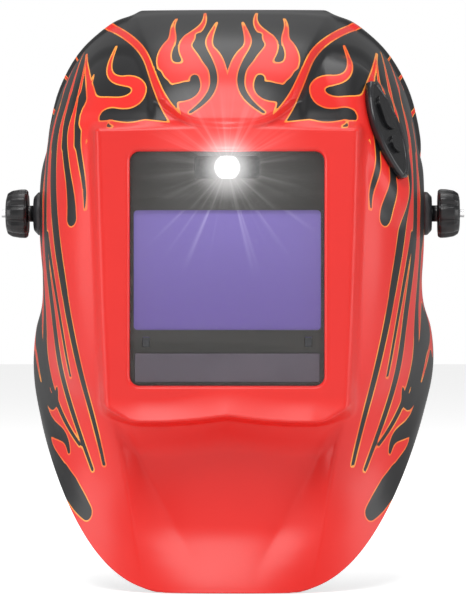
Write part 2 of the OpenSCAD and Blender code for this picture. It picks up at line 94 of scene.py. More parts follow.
def grid_faces(rows, columns, wrap=False):
    """Quads of a grid whose points are stored row by row; wrap joins the last column to the first."""
    across = columns if wrap else columns - 1
    return [
        (i * columns + j, i * columns + (j + 1) % columns,
         (i + 1) * columns + (j + 1) % columns, (i + 1) * columns + j)
        for i in range(rows - 1) for j in range(across)
    ]


def spline(a, b, c, d, t):
    """The Catmull-Rom curve through a, b, c and d, at share t of the way from b to c."""
    return b + 0.5 * t * (c - a + t * (2 * a - 5 * b + 4 * c - d + t * (3 * (b - c) + d - a)))


def tube(name, points, radius, body, slot, *replaced, sides=16, steps=6):
    """A round cable swept smoothly through millimetre points."""
    p = np.asarray(points, float)
    p = np.concatenate([[2 * p[0] - p[1]], p, [2 * p[-1] - p[-2]]])
    line = []
    for a, b, c, d in zip(p, p[1:], p[2:], p[3:]):
        for t in np.linspace(0, 1, steps, endpoint=False):
            line.append(spline(a, b, c, d, t))
    line = np.array(line + [p[-2]])
    along = np.gradient(line, axis=0)
    along /= np.linalg.norm(along, axis=1, keepdims=True)
    side = np.cross(along, (0, 0, 1))
    side /= np.linalg.norm(side, axis=1, keepdims=True)
    up = np.cross(side, along)
    angle = np.linspace(0, 2 * math.pi, sides, endpoint=False)[:, None, None]
    rings = line + radius * (np.cos(angle) * side + np.sin(angle) * up)
    count = len(line)
    faces = grid_faces(count, sides, wrap=True)
    faces += [tuple(range(sides))[::-1], tuple(range((count - 1) * sides, count * sides))]
    return piece(name, rings.transpose(1, 0, 2).reshape(-1, 3), faces, body, slot, *replaced)


# ---------- Material nodes ----------
class Shader:
    """A material's node tree, built with short calls."""

    def __init__(self, name):
        self.material = bpy.data.materials.new(name)
        self.material.use_nodes = True
        self.tree = self.material.node_tree
        self.surface = self.tree.nodes["Principled BSDF"]
        self.output = self.tree.nodes["Material Output"]

    def node(self, kind, inputs=None, **settings):
        made = self.tree.nodes.new("ShaderNode" + kind)
        for key, value in settings.items():
            setattr(made, key, value)
        for key, value in (inputs or {}).items():
            self.set(made, key, value)
        return made

    def set(self, target, key, value):
        """Links or sets an input; a single number or a colour without alpha fills a longer socket."""
        socket = target.inputs[key]
        if isinstance(value, bpy.types.NodeSocket):
            self.tree.links.new(value, socket)
        elif hasattr(socket.default_value, "__len__") and not hasattr(value, "__len__"):
            socket.default_value = (value,) * len(socket.default_value)
        elif hasattr(value, "__len__") and len(socket.default_value) == 4 and len(value) == 3:
            socket.default_value = (*value, 1)
        else:
            socket.default_value = value

    def math(self, operation, a, b=0.0, clamp=False):
        return self.node("Math", {0: a, 1: b}, operation=operation, use_clamp=clamp).outputs[0]

    def ramp(self, value, low, high, to_low=0.0, to_high=1.0):
        """A smooth step of value between low and high."""
        inputs = {"Value": value, "From Min": low, "From Max": high, "To Min": to_low, "To Max": to_high}
        return self.node("MapRange", inputs, interpolation_type="SMOOTHSTEP").outputs[0]

    def mix(self, factor, a, b):
        """Colour a where factor is 0, b where it is 1."""
        made = self.node("Mix", data_type="RGBA")
        self.set(made, 0, factor)
        self.set(made, 6, a)
        self.set(made, 7, b)
        return made.outputs[2]

    def place(self):
        """The point's place on the object at rest, in metres."""
        return self.node("TexCoord").outputs["Object"]

    def noise(self, size_mm, detail, place=None):
        """Cloudy noise from 0 to 1 whose lumps are about size_mm wide."""
        inputs = {"Vector": place or self.place(), "Scale": 1 / (size_mm * MM), "Detail": detail}
        return self.node("TexNoise", inputs).outputs["Fac"]

    def attribute(self, name):
        return self.node("Attribute", attribute_name=name).outputs["Fac"]

    def bump(self, height, depth_mm, edge_mm=0.0):
        """Bump by height times depth; edge_mm rounds hard edges in the shading."""
        inputs = {"Height": height, "Distance": depth_mm * MM, "Strength": 1.0}
        if edge_mm:
            inputs["Normal"] = self.node("Bevel", {"Radius": edge_mm * MM}, samples=4).outputs[0]
        self.set(self.surface, "Normal", self.node("Bump", inputs).outputs[0])

    def paint(self, **values):
        """Sets inputs of the Principled surface by name and returns the material."""
        for key, value in values.items():
            self.set(self.surface, key.replace("_", " "), value)
        return self.material


def moulded(name, colour, roughness=0.45, grain_mm=0.6, depth_mm=0.03, edge_mm=0.4):
    """Moulded plastic or rubber: fine spark grain, uneven gloss and paler rubbed patches."""
    s = Shader(name)
    grain = s.noise(grain_mm, 2)
    cloud = s.noise(18, 4)
    worn = s.ramp(s.noise(5, 5), 0.62, 0.8)
    lighter = [min(1, c * 1.9 + 0.012) for c in colour]
    s.bump(grain, depth_mm, edge_mm)
    tone = s.mix(cloud, colour, [c * 1.25 for c in colour])
    return s.paint(
        Base_Color=s.mix(s.math("MULTIPLY", worn, 0.25), tone, lighter),
        Roughness=s.ramp(cloud, 0.2, 0.8, roughness - 0.07, roughness + 0.09),
    )


def metal(name, colour, roughness=0.28):
    """Turned steel: fine rings of lathe marks round the X axis."""
    s = Shader(name)
    stretch = s.node("Mapping", {"Vector": s.place(), "Scale": (14, 1, 1)}).outputs[0]
    marks = s.noise(0.8, 2, stretch)
    s.bump(marks, 0.01, 0.25)
    gloss = s.ramp(marks, 0.3, 0.7, roughness - 0.08, roughness + 0.1)
    return s.paint(Base_Color=colour, Metallic=1.0, Roughness=gloss)


def fabric(name, colour, rib_scale=420, hole_pitch_mm=4.2):
    """Knitted cover with small punched holes and soft lint."""
    s = Shader(name)
    place = s.place()
    ribs = {"Vector": place, "Scale": rib_scale, "Distortion": 1.5}
    weave = s.node("TexWave", {**ribs, "Detail": 2}).outputs["Fac"]
    cross = s.node("TexWave", ribs, bands_direction="Z").outputs["Fac"]
    cells = {"Vector": place, "Scale": 1 / (hole_pitch_mm * MM), "Randomness": 0.12}
    hole = s.ramp(s.node("TexVoronoi", cells).outputs["Distance"], 0.16, 0.24)
    lint = s.noise(3, 6)
    height = s.math("MULTIPLY", s.math("ADD", s.math("MULTIPLY", weave, cross), 0.6), hole)
    s.bump(height, 0.25)
    tone = s.mix(lint, [c * 0.75 for c in colour], [c * 1.4 for c in colour])
    # The punched holes are real; their near-black colour is painted shade inside them.
    return s.paint(Base_Color=s.mix(hole, (0.004, 0.004, 0.005), tone), Roughness=0.9, Sheen_Weight=0.35)


# ---------- Shell surface ----------
# Each station is a level of the shell: front height, front y, half width, rear y, rear height, squareness
STATIONS = np.array([
    [-199.5, -119, 108, 22, -98, 2.4],
    [-180, -114, 111, 38, -88, 2.5],
    [-150, -108, 112, 52, -76, 2.7],
    [-118, -109, 110.5, 62, -62, 3.0],
    [-92, -118, 105.5, 68, -44, 3.6],
    [-31.5, -120, 105, 70, -8, 4.0],
    [29, -119, 103, 64, 34, 3.6],
    [52, -114, 98.5, 56, 60, 3.0],
    [72, -102, 92, 46, 77, 2.6],
    [90, -79, 83, 36, 91, 2.4],
    [103, -48, 71, 26, 102, 2.2],
    [110, -14, 61, 20, 108, 2.0],
    [113.5, 11, 55, 16.5, 111.5, 2.0],
])
# Mesh rows from each station to the next, and mesh columns on each half of the shell
ROW_STEPS = [12, 22, 24, 28, 46, 46, 36, 26, 28, 26, 20, 12]
INNER_COLUMNS = 44
OUTER_COLUMNS = 112
# The first columns outside the window's edge, close together for its rounding
EDGE_STEPS = [0, 0.35, 0.9, 1.7]
# The window opening lies between these stations
WINDOW_ROWS = (4, 6)
WINDOW_X = 50.25
WINDOW_Z = (-92, 29)
WINDOW_CORNER = 5.0
EDGE_ROUND = 2.4
# The surround's face, the lowest level of the CAD shell and the flats round the pivots
FRONT_Y = -120
FLOOR_Z = cad_box[0].z / MM
PIVOT_X = 105
PIVOT_FLAT = (22, 38)
WALL = 2.4
# Where the front turns into the side, from which the side's length is measured
CREASE_X = 66
# The flat middle of the chin widens to the window's width over these heights
CHIN_BLEND = (-190, -118)
CHIN_FLAT_X = 22
LIFT_POWERS = (2.7, 1.8)
# The forehead hood: a foot that widens to straight, spreading sides
HOOD_RISE = 6.5
HOOD_FOOT = (36, 60)
HOOD_FOOT_HALF = 16
HOOD_HALF = 33
HOOD_SIDE_Z = 56
HOOD_SPREAD = 0.39
HOOD_BROW_Z = 38
HOOD_BROW_CURVE = 0.011
# The band along the rear edge
BAND_RISE = 3.5
BAND_WIDTH = (29, 36)
BAND_Z = (18, 44)
# The window surround, and the lip under it with a wavy lower edge
SURROUND_HALF = 66.2
SURROUND_TAPER = 0.036
SURROUND_TOP = (39.5, 46)
LIP_OUT = 5
LIP_HIGH_Z = -94.5
LIP_LOW_Z = -107
LIP_WAVE = 3.2
# The chin wedge: its half width and the width of its facet, by height
CHIN_IN = 8
CHIN_HALVES = ((-201, -186, -126, -95), (43.5, 46, 56, 65))
CHIN_FACETS = ((-186, -155, -140, -126, -103), (30, 18, 12, 8, 5))
# The arched hollows beside the hood
SOCKET_DEPTH = 3.2
SOCKET_X = 61
SOCKET_Z = 52
SOCKET_SIZE = (23, 37)
SOCKET_POWER = 2.4


def ramp(a, b, x):
    """A smooth step from 0 at a to 1 at b."""
    t = np.clip((np.asarray(x, float) - a) / (b - a), 0, 1)
    return t * t * (3 - 2 * t)


def mix(a, b, t):
    return a + (b - a) * t


def level(r):
    """The station at r, by cubic interpolation."""
    last = len(STATIONS) - 1
    i = min(last - 1, int(r))
    around = (STATIONS[min(last, max(0, k))] for k in range(i - 1, i + 3))
    return spline(*around, r - i)


def superellipse_x(station, turn):
    """Distance from the middle at angle turn of a station's outline."""
    return station[2] * np.sin(turn) ** (2 / station[5])


def body_points(station, x, turn=None):
    """The plain body at a station: x, y and z. turn is the outline's angle where x is near its end."""
    front_z, front_y, half, rear_y, rear_z, power = station
    if turn is None:
        depth = np.power(np.maximum(0, 1 - np.minimum(1, x / half) ** power), 1 / power)
    else:
        depth = np.cos(turn) ** (2 / power)
    high = ramp(*CHIN_BLEND, front_z)
    flat_x = mix(CHIN_FLAT_X, WINDOW_X, high)
    lift = np.maximum(0, (x - flat_x) / (half - flat_x)) ** mix(*LIFT_POWERS, high)
    return x, mix(rear_y, front_y, depth), mix(front_z, rear_z, lift)


def hood_half(z):
    """Half width of the forehead hood at height z."""
    foot = mix(HOOD_FOOT_HALF, HOOD_HALF, ramp(*HOOD_FOOT, z))
    return np.where(z < HOOD_SIDE_Z, foot, HOOD_HALF + (z - HOOD_SIDE_Z) * HOOD_SPREAD)


def hood(x, z):
    """Share of the hood's rise, from 0 off it to 1 on it."""
    brow = HOOD_BROW_Z + HOOD_BROW_CURVE * x * x
    return (1 - ramp(hood_half(z) - 1, hood_half(z) + 7, x)) * ramp(brow, brow + 5, z)


def rear_band(edge, z):
    """Share of the rear band's rise at a distance from the rear edge."""
    return (1 - ramp(*BAND_WIDTH, edge)) * ramp(*BAND_Z, z)


def lip_edge(x):
    """Height of the lip's lower edge, a shallow wave."""
    wave = np.sin(np.radians(np.minimum(90, x * 2.4)))
    return LIP_LOW_Z - LIP_WAVE * wave + 13 * ramp(46, 74, x)


def surround(x, z):
    """Share by which the body is pulled flat to the face of the window surround."""
    half = SURROUND_HALF + SURROUND_TAPER * (z + 30)
    low = lip_edge(x)
    soft = 3 + 7 * ramp(48, 70, x)
    return (1 - ramp(half - 2, half + 4, x)) * ramp(low - soft, low - 0.4, z) * (1 - ramp(*SURROUND_TOP, z))


def lip(x, z):
    """The lip under the window, which slopes out from its upper line to its sharp lower edge."""
    low = lip_edge(x)
    high = LIP_HIGH_Z - 4 * ramp(4, 34, x)
    out = np.clip((high - z) / (high - low), 0, 1) ** 1.3
    return (1 - ramp(42, 69, x)) * out * ramp(low - 2.6, low - 0.2, z)


def chin(x, z):
    """The chin wedge: a crease on each side, with a facet inside it that widens and fades downwards."""
    inside = np.clip((np.interp(z, *CHIN_HALVES) - x) / np.interp(z, *CHIN_FACETS), 0, 1)
    low = lip_edge(x)
    return (1 - (1 - inside) ** 1.4) * ramp(-204, -164, z) * (1 - ramp(low - 20, low - 1, z))


def socket(x, z):
    """The shallow arched hollows on both sides of the hood."""
    wide, high = SOCKET_SIZE
    across = np.abs((x - SOCKET_X) / wide) ** SOCKET_POWER
    up = (np.maximum(0, z - SOCKET_Z) / high) ** SOCKET_POWER
    away = (across + up) ** (1 / SOCKET_POWER)
    return (1 - ramp(0.84, 1.02, away)) * ramp(SOCKET_Z - 8, SOCKET_Z, z)


def shell_points(station, x, turn=None):
    """The painted surface at a station, before the window's corners and the control pad's seat."""
    x, y, z = body_points(station, x, turn)
    from_rear = station[3] - y
    on_hood = HOOD_RISE * hood(x, z) * (1 - 0.5 * ramp(80, 105, z))
    raised = np.maximum(on_hood, BAND_RISE * rear_band(from_rear, z)) * (1 - ramp(104, 113, z))
    up = ramp(60, 108, z)
    side = ramp(60, 100, x)
    hollow = SOCKET_DEPTH * socket(x, z)
    x1 = x + raised * 0.8 * side
    y1 = y - raised * (1 - 0.75 * up) * (1 - 0.8 * side) + hollow * 0.75
    z1 = z + raised * 0.6 * up * (1 - 0.6 * side) - hollow * 0.6 * up
    y2 = mix(y1, FRONT_Y, surround(x, z)) - LIP_OUT * lip(x, z) + CHIN_IN * chin(x, z)
    flat = 1 - ramp(*PIVOT_FLAT, np.hypot(y2, z1))
    return np.stack([mix(x1, PIVOT_X, flat), y2, z1], -1)


def row_values():
    """Levels of the mesh rows, with close rows beside the window's edges."""
    values = [i + k / n for i, n in enumerate(ROW_STEPS) for k in range(n)] + [len(ROW_STEPS)]
    close = [WINDOW_ROWS[0] - d for d in (0.01, 0.025)] + [WINDOW_ROWS[1] + d for d in (0.012, 0.035)]
    return np.array(sorted(values + close))


def half_row(station):
    """Points from the middle to the rear edge, evenly spaced, and the length run along the body."""
    inside = np.linspace(0, WINDOW_X, INNER_COLUMNS, endpoint=False)
    start = math.asin((WINDOW_X / station[2]) ** (station[5] / 2))
    fine = math.pi / 2 - (math.pi / 2 - start) * np.linspace(1, 0, 1500) ** 2
    x, y, _ = body_points(station, superellipse_x(station, fine), fine)
    run = np.concatenate([[0], np.cumsum(np.hypot(np.diff(x), np.diff(y)))])
    steps = np.concatenate([EDGE_STEPS, np.linspace(3, run[-1], OUTER_COLUMNS - 3)])
    turn = np.interp(steps, run, fine)
    outside = shell_points(station, superellipse_x(station, turn), turn)
    length = np.concatenate([inside - WINDOW_X, steps])
    return np.concatenate([shell_points(station, inside), outside]), length


def round_window(p):
    """Rounds the window opening's corners and its front edge."""
    centre_z = sum(WINDOW_Z) / 2
    corner = np.array([WINDOW_X, (WINDOW_Z[1] - WINDOW_Z[0]) / 2]) - WINDOW_CORNER
    q = np.stack([np.abs(p[..., 0]), np.abs(p[..., 2] - centre_z)], -1) - corner
    reach = np.max(q, -1)
    beyond = np.min(q, -1) > 0
    weight = np.where(beyond, 1 - ramp(WINDOW_CORNER, 3 * WINDOW_CORNER, reach), 0) * (p[..., 1] < -90)
    moved = q * (reach / np.maximum(1e-6, np.linalg.norm(q, axis=-1)))[..., None]
    new = corner + mix(q, moved, weight[..., None])
    out = p.copy()
    out[..., 0] = np.sign(p[..., 0]) * new[..., 0]
    out[..., 2] = centre_z + np.sign(p[..., 2] - centre_z) * new[..., 1]
    beside = np.clip(EDGE_ROUND - (reach - WINDOW_CORNER), 0, EDGE_ROUND) * (p[..., 1] < -110)
    out[..., 1] += EDGE_ROUND - np.sqrt(EDGE_ROUND ** 2 - beside ** 2)
    return out


def unit(vector):
    return np.asarray(vector) / np.linalg.norm(vector)


# The control pad's middle and directions, and half the height and width of its seat
PAD_AT = np.array([81.6, -83.6, 41])
PAD_OUT = unit([0.79, -0.49, 0.36])
PAD_ACROSS = unit(np.cross([0, 0, 1], PAD_OUT))
PAD_UP = np.cross(PAD_OUT, PAD_ACROSS)
PAD_SEAT = (31, 17)


def seat_pad(p):
    """Flattens the oval seat of the control pad."""
    d = p - PAD_AT
    away = np.hypot(d @ PAD_UP / PAD_SEAT[0], d @ PAD_ACROSS / PAD_SEAT[1])
    weight = (p[..., 0] > 50) * (1 - ramp(1, 1.7, away))
    return p - (weight * (d @ PAD_OUT))[..., None] * PAD_OUT


def shell_grid():
    """Outer points as rows by columns, their levels, and the length round from the crease."""
    levels = row_values()
    halves, lengths = [], []
    for r in levels:
        points, length = half_row(level(r))
        halves.append(points)
        lengths.append(length - np.interp(CREASE_X, points[:, 0], length))
    half = np.array(halves)
    left = half[:, :0:-1] * [-1, 1, 1]
    grid = seat_pad(round_window(np.concatenate([left, half], 1)))
    grid[..., 2] = np.maximum(grid[..., 2], FLOOR_Z)
    length = np.array(lengths)
    return grid, levels, np.concatenate([length[:, :0:-1], length], 1)


def grid_normals(grid):
    """Unit normals of a grid of points, outwards."""
    across = np.empty_like(grid)
    up = np.empty_like(grid)
    across[:, 1:-1] = grid[:, 2:] - grid[:, :-2]
    across[:, 0], across[:, -1] = grid[:, 1] - grid[:, 0], grid[:, -1] - grid[:, -2]
    up[1:-1] = grid[2:] - grid[:-2]
    up[0], up[-1] = grid[1] - grid[0], grid[-1] - grid[-2]
    normal = np.cross(across, up)
    return normal / np.linalg.norm(normal, axis=-1, keepdims=True)


# ---------- Flame paint ----------
# Distances in the paint field aren't followed further than this
FAR = 16.0


def cubic_points(controls, count=14):
    """Points along a run of joined cubic Bezier curves: 4 control points, then 3 more for each next curve."""
    controls = np.asarray(controls, float)
    t = np.linspace(0, 1, count)[:, None]
    runs = []
    for k in range(0, len(controls) - 1, 3):
        a, b, c, d = controls[k:k + 4]
        u = 1 - t
        runs.append(u ** 3 * a + 3 * u ** 2 * t * b + 3 * u * t * t * c + t ** 3 * d)
    return np.concatenate(runs)


def stroke(place, controls, widths):
    """Signed distance inside a tapered brush stroke; widths are half widths spread evenly along it."""
    line = cubic_points(controls)
    half = np.interp(np.linspace(0, 1, len(line)), np.linspace(0, 1, len(widths)), widths)
    field = np.full(place.shape[:-1], -FAR)
    near = np.all((place > line.min(0) - FAR) & (place < line.max(0) + FAR), -1)
    spot = place[near]
    found = np.full(len(spot), -FAR)
    for a, b, wa, wb in zip(line, line[1:], half, half[1:]):
        run = b - a
        along = np.clip((spot - a) @ run / max(1e-9, run @ run), 0, 1)
        away = spot - a - along[:, None] * run
        found = np.maximum(found, mix(wa, wb, along) - np.hypot(away[:, 0], away[:, 1]))
    field[near] = found
    return field


def join(a, b, soft=2.5):
    """Union of two signed distances with a soft fillet."""
    h = np.maximum(soft - np.abs(a - b), 0) / soft
    return np.maximum(a, b) + h * h * soft / 4


def add(field, place, strokes, soft=2.5):
    """The field with strokes painted on."""
    for controls, widths in strokes:
        field = join(field, stroke(place, controls, widths), soft)
    return field


def cut(field, place, strokes, soft=1.5):
    """The field with strokes painted out."""
    for controls, widths in strokes:
        field = -join(-field, stroke(place, controls, widths), soft)
    return field


# Forehead flames, as x outwards and z up
HOOD_LICKS = [
    ([(15, 52), (8, 62), (10, 71), (19, 71), (25, 71), (30, 70), (31, 67)], [4.5, 5.0, 5.6, 5.4, 4.2]),
    ([(2, 58), (5, 70), (3, 76), (9, 83), (12, 88), (9, 93), (7, 100)], [6, 3.8, 2.6, 1.9, 0.8]),
    ([(17, 72), (18, 80), (26, 83), (21, 90), (17, 95), (12, 98), (14, 107)], [5, 4.2, 3.2, 2.0, 0.8]),
    ([(27, 70), (36, 74), (34, 82), (31, 87), (28, 92), (32, 96), (29, 103)], [5, 4.2, 2.8, 1.7, 0.8]),
]
HOOD_STRIPE = ([(25, 44), (34, 54), (37, 64), (41, 74), (45, 86), (53, 93), (72, 106)],
               [4.0, 2.6, 2.1, 2.2, 2.6])
HOOD_HOOKS = [
    ([(16, 92), (13, 80), (7, 75), (7, 66), (7, 59), (12, 54), (19, 49)], [1.5, 1.9, 1.9, 1.5, 0.7]),
    ([(17, 67), (14, 60), (20, 57), (26, 58), (31, 60), (34, 65), (36, 70)], [2.3, 2.4, 3.0, 2.6, 1.6]),
    ([(33, 64), (29, 56), (27, 50), (23, 42)], [2.6, 2.4, 1.8, 0.7]),
]
SOCKET_LICKS = [
    ([(72, 46), (74, 60), (62, 53), (54, 55), (44, 57), (44, 67), (54, 67.5), (65, 68), (66, 76), (61, 88)],
     [7, 4.4, 4.2, 4.4, 3.2, 2.0, 0.7]),
    ([(70, 40), (70, 58), (76, 66), (79, 86)], [6, 3.4, 2.0, 0.7]),
]
SOCKET_HOOKS = [
    ([(39, 66), (39, 48), (49, 47), (58, 49), (66, 52), (67, 44), (60, 42)], [2.2, 3.8, 3.2, 2.8, 0.5]),
]
# Side flames, as length round from the crease and z up
SIDE_TONGUES = [
    ([(23, 60), (22, 36), (10, 22), (10, 0)], [3.0, 2.4, 1.7, 0.9]),
    ([(35, 60), (40, 34), (21, 20), (21, -5)], [4.5, 3.4, 2.8, 4.2]),
    ([(50, 60), (58, 24), (38, -8), (28, -44), (20, -74), (8, -100), (-1, -134)],
     [6, 6.5, 4.6, 3.1, 2.3, 1.6, 1.0]),
    ([(56, -14), (42, -34), (36, -56), (24, -88)], [3.0, 2.3, 1.6, 0.9]),
    ([(70, 60), (84, 20), (58, -24), (45, -60), (34, -90), (20, -110), (7, -137)],
     [7, 7, 5, 3.4, 2.4, 1.7, 1.0]),
    ([(94, 60), (112, 16), (84, -36), (64, -68), (52, -90), (40, -104), (17, -124)],
     [8, 8, 6, 4, 2.7, 1.8, 1.0]),
    ([(100, -58), (74, -70), (62, -88), (55, -97), (48, -106), (39, -104), (40, -95)], [9, 7, 5, 3.6, 1.2]),
    ([(100, -84), (70, -96), (60, -112), (47, -116), (38, -119), (29, -118), (27, -128)],
     [9, 7, 5, 3.6, 1.4]),
    ([(92, -104), (62, -118), (46, -130), (33, -141), (25, -148), (17, -155), (12, -159)],
     [6, 4, 4, 6.6, 7.6, 6.4, 4.6]),
]
SIDE_LICKS = [
    ([(13, 16), (12, 40), (16, 54), (12, 72)], [3.2, 2.6, 1.8, 1.0]),
    ([(26, 14), (28, 44), (23, 58), (29, 82)], [5.5, 5.2, 2.4, 1.0]),
    ([(43, 10), (44, 44), (37, 60), (45, 88)], [6, 5.4, 2.8, 1.0]),
    ([(66, 6), (70, 44), (58, 60), (70, 92)], [7.5, 6.4, 3.2, 1.0]),
    ([(91, 0), (98, 40), (84, 58), (100, 90)], [9, 7, 3.4, 1.0]),
    ([(90, -40), (126, 0), (112, 34), (138, 74)], [9, 7, 4, 1.0]),
    ([(82, -62), (138, -36), (132, 4), (160, 46)], [9, 6.5, 4.2, 1.0]),
    ([(70, -86), (124, -80), (142, -38), (180, 4)], [7, 6, 4, 1.0]),
    ([(60, -106), (110, -110), (134, -84), (166, -62)], [5, 4.4, 2.6, 1.0]),
]
# Where the plain red ends: above the forehead's middle and beside it, beside the hood, and up the side
DOME_Z = 63
DOME_HALF = 40
BROW_Z = 47
FLANK_Z = 32
# Length round at which the side's pattern takes over from the front's
FLANK_START = -4
# Length at which the red flank ends, by height
FLANK_ENDS = [(-200, 10), (-165, 25), (-150, 33), (-128, 46), (-100, 60), (-70, 80), (-40, 94), (0, 100)]


def paint_field(grid, length):
    """Distance into the red paint in millimetres: positive in red, negative in black."""
    x, z = np.abs(grid[..., 0]), grid[..., 2]
    front = np.stack([x, z], -1)
    side = np.stack([length, z], -1)
    dome = np.minimum(DOME_Z - 0.012 * x * x - z, DOME_HALF - x)
    hood_red = cut(add(dome, front, HOOD_LICKS), front, HOOD_HOOKS)
    brow = np.minimum(BROW_Z - 0.12 * np.maximum(0, 50 - x) - z, CREASE_X + 2 - x)
    socket_red = cut(add(brow, front, SOCKET_LICKS), front, SOCKET_HOOKS)
    beside = ramp(-0.5, 0.5, x - hood_half(z) - 3)
    top = join(mix(hood_red, socket_red, beside), stroke(front, *HOOD_STRIPE), 1)
    rear_line = np.interp(z, *zip(*FLANK_ENDS)) - length
    flank_top = FLANK_Z + 14 * (1 - ramp(3, 12, length))
    flank = add(np.minimum(rear_line, flank_top - z), side, SIDE_LICKS)
    flank = cut(flank, side, SIDE_TONGUES)
    on_side = length > FLANK_START
    top = np.where(z < FLANK_Z, np.where(on_side, -FAR, FAR), top)
    return np.where(on_side, np.maximum(top, flank), top)


def paint_heat(grid, length):
    """How far the red glows orange towards its edge, from 0 to 1: on the forehead and far round the side."""
    x, z = np.abs(grid[..., 0]), grid[..., 2]
    forehead = ramp(60, 84, z) * (1 - ramp(hood_half(z) - 2, hood_half(z) + 2, x))
    return np.maximum(forehead, 0.7 * ramp(60, 90, length) * (1 - ramp(30, 50, z)))


PAINT_REDS = (0.74, 0.014, 0.010), (0.84, 0.022, 0.015)
PAINT_GLOW = (0.96, 0.25, 0.03)
PAINT_LINES = (0.93, 0.15, 0.02), (0.98, 0.36, 0.05)
PAINT_BLACK = (0.007, 0.007, 0.008)


def shell_paint():
    """Satin paint: flames in red with an orange and yellow line, over black."""
    s = Shader("helmet_paint")
    depth = s.attribute("paint")
    peel = s.noise(2.2, 2)
    cloud = s.noise(60, 2)
    red = s.mix(cloud, *PAINT_REDS)
    glow = s.math("MULTIPLY", s.ramp(depth, 0.4, 4.2, 1, 0), s.attribute("heat"), clamp=True)
    red = s.mix(glow, red, PAINT_GLOW)
    colour = s.mix(s.ramp(depth, -0.05, 0.05), PAINT_BLACK, red)
    hue = s.mix(s.ramp(s.noise(24, 1), 0.42, 0.58), *PAINT_LINES)
    edge = s.math("MULTIPLY", s.ramp(depth, -0.08, 0.06), s.ramp(depth, 0.55, 0.8, 1, 0))
    line = s.math("MULTIPLY", edge, s.attribute("lined"))
    colour = s.mix(line, colour, hue)
    s.bump(peel, 0.012)
    lamp_spill(s, 0.55)
    return s.paint(Base_Color=colour, Roughness=s.ramp(cloud, 0.3, 0.7, 0.38, 0.46), Coat_Weight=0.2,
                   Coat_Roughness=0.25, Specular_IOR_Level=0.4)


def float_attribute(obj, name, values):
    made = obj.data.attributes.new(name, "FLOAT", "POINT")
    made.data.foreach_set("value", np.asarray(values, np.float32).ravel())


def faces_round_window(rows, columns, window):
    """Faces of the grid of chosen rows and columns, without those inside the window opening."""
    i0, i1, j0, j1 = window
    hole = [
        i0 <= a and b <= i1 and j0 <= c and d <= j1
        for a, b in zip(rows, rows[1:]) for c, d in zip(columns, columns[1:])
    ]
    return [f for f, h in zip(grid_faces(len(rows), len(columns)), hole) if not h]


def outline_loop(rows, columns):
    """Places in the grid along its outline."""
    loop = [(0, j) for j in range(columns)] + [(i, columns - 1) for i in range(1, rows)]
    loop += [(rows - 1, j) for j in range(columns - 2, -1, -1)]
    return loop + [(i, 0) for i in range(rows - 2, 0, -1)]


def window_loop(window):
    """Places in the grid along the window opening."""
    i0, i1, j0, j1 = window
    loop = [(i0, j) for j in range(j1, j0, -1)] + [(i, j0) for i in range(i0, i1)]
    return loop + [(i1, j) for j in range(j0, j1)] + [(i, j1) for i in range(i1, i0, -1)]


def build_shell_outside(grid, inner, length, window):
    """The painted outside with rims that turn in to the wall's thickness."""
    rows, columns = grid.shape[:2]
    points = list(grid.reshape(-1, 3))
    faces = faces_round_window(range(rows), range(columns), window)
    loops = outline_loop(rows, columns), window_loop(window)
    for loop in loops:
        start = len(points)
        points += [inner[i, j] for i, j in loop]
        for k, (i, j) in enumerate(loop):
            n = (k + 1) % len(loop)
            a, b = i * columns + j, loop[n][0] * columns + loop[n][1]
            faces.append((b, a, start + k, start + n))
    field = paint_field(grid, length)
    rim_field = np.array([field[i, j] for loop in loops for i, j in loop])
    plain_rim = np.zeros(len(rim_field))
    obj = piece("shell_outside", points, faces, "visor", "shell_paint", "shell")
    float_attribute(obj, "paint", np.concatenate([field.ravel(), rim_field]))
    float_attribute(obj, "heat", np.concatenate([paint_heat(grid, length).ravel(), plain_rim]))
    float_attribute(obj, "lined", np.concatenate([np.ones(rows * columns), plain_rim]))
    obj.data.materials.append(shell_paint())


def build_shell_inside(inner, window, step=3):
    """The plain inside, as a skin with every third row and column."""
    i0, i1, j0, j1 = window
    last_row, last_column = inner.shape[0] - 1, inner.shape[1] - 1
    rows = sorted({*range(0, last_row, step), i0, i1, last_row})
    columns = sorted({*range(0, last_column, step), j0, j1, last_column})
    faces = [f[::-1] for f in faces_round_window(rows, columns, window)]
    points = inner[np.ix_(rows, columns)].reshape(-1, 3)
    obj = piece("shell_inside", points, faces, "visor", "shell_paint", "shell")
    obj.data.materials.append(moulded("shell_inside", (0.022, 0.022, 0.024), 0.55, 0.8, 0.05))


def build_shell():
    grid, levels, length = shell_grid()
    inner = grid - WALL * grid_normals(grid)
    inner[..., 2] = np.maximum(inner[..., 2], FLOOR_Z)
    middle = (grid.shape[1] - 1) // 2
    i0, i1 = (int(np.argmin(np.abs(levels - r))) for r in WINDOW_ROWS)
    window = i0, i1, middle - INNER_COLUMNS, middle + INNER_COLUMNS
    build_shell_outside(grid, inner, length, window)
    build_shell_inside(inner, window)


# ---------- Knobs and the control pad's rim ----------
def turned_knob(name, profile, lobes, lobe_depth, place, body, *replaced, steps=144):
    """A lathe shape along its own +Z that dips between lobes; profile is (radius, height, lobe share)."""
    angle = np.linspace(0, 2 * math.pi, steps, endpoint=False)
    dip = lobe_depth * (0.5 - 0.5 * np.cos(lobes * angle)) ** 3
    points = []
    for radius, height, share in profile:
        r = radius - share * dip
        points += list(np.stack([r * np.cos(angle), r * np.sin(angle), np.full(steps, height)], -1))
    faces = grid_faces(len(profile), steps, wrap=True)
    faces.append(tuple(range(steps))[::-1])
    faces.append(tuple(range((len(profile) - 1) * steps, len(profile) * steps)))
    return piece(name, [place @ Vector(p) for p in points], faces, body, "black_plastic", *replaced)


